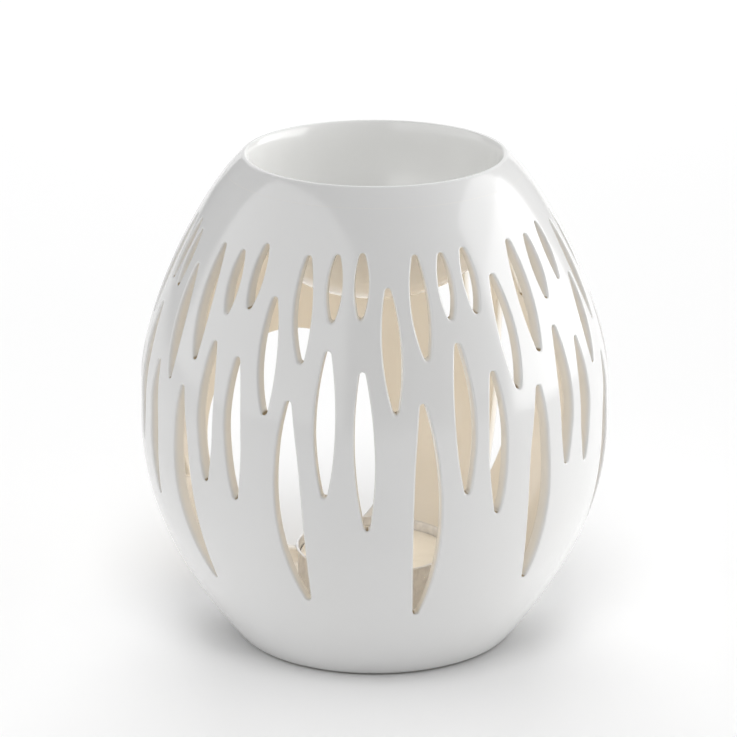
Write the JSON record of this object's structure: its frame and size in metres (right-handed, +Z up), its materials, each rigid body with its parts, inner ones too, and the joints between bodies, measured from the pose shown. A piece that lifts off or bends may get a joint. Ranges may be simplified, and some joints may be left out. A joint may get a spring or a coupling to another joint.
{
  "type": "oil burner",
  "caption": "Egg-shaped white glazed ceramic oil burner with leaf-shaped slits, a fixed bowl in its mouth and a tealight that draws out through a round opening at the back.",
  "frame": {"origin": "centre of the foot, on the surface that the burner stands on", "axes": "+Z up along the axis of the body; +Y out through the opening for the tealight, at the back; +X to the right of someone who looks along +Y"},
  "size_m": [0.1102, 0.1101, 0.1168],
  "materials": {
    "glazed_shell": "gloss white glaze",
    "glazed_bowl": "gloss white glaze",
    "cup_metal": "thin pressed sheet",
    "wax": "translucent paraffin wax",
    "wick_cotton": "waxed braided cotton",
    "tab_metal": "stamped tin plate"
  },
  "bodies": {
    "burner": {"pierced_shell": "glazed_shell", "oil_bowl": "glazed_bowl"},
    "tealight": {"tealight_cup": "cup_metal", "tealight_wax": "wax", "wick": "wick_cotton", "wick_tab": "tab_metal"}
  },
  "joints": [
    {"name": "tealight_draw", "type": "slide", "parent": "burner", "child": "tealight", "axis": [0, 0.9135, 0.4067], "range_m": [0, 0.09]}
  ]
}
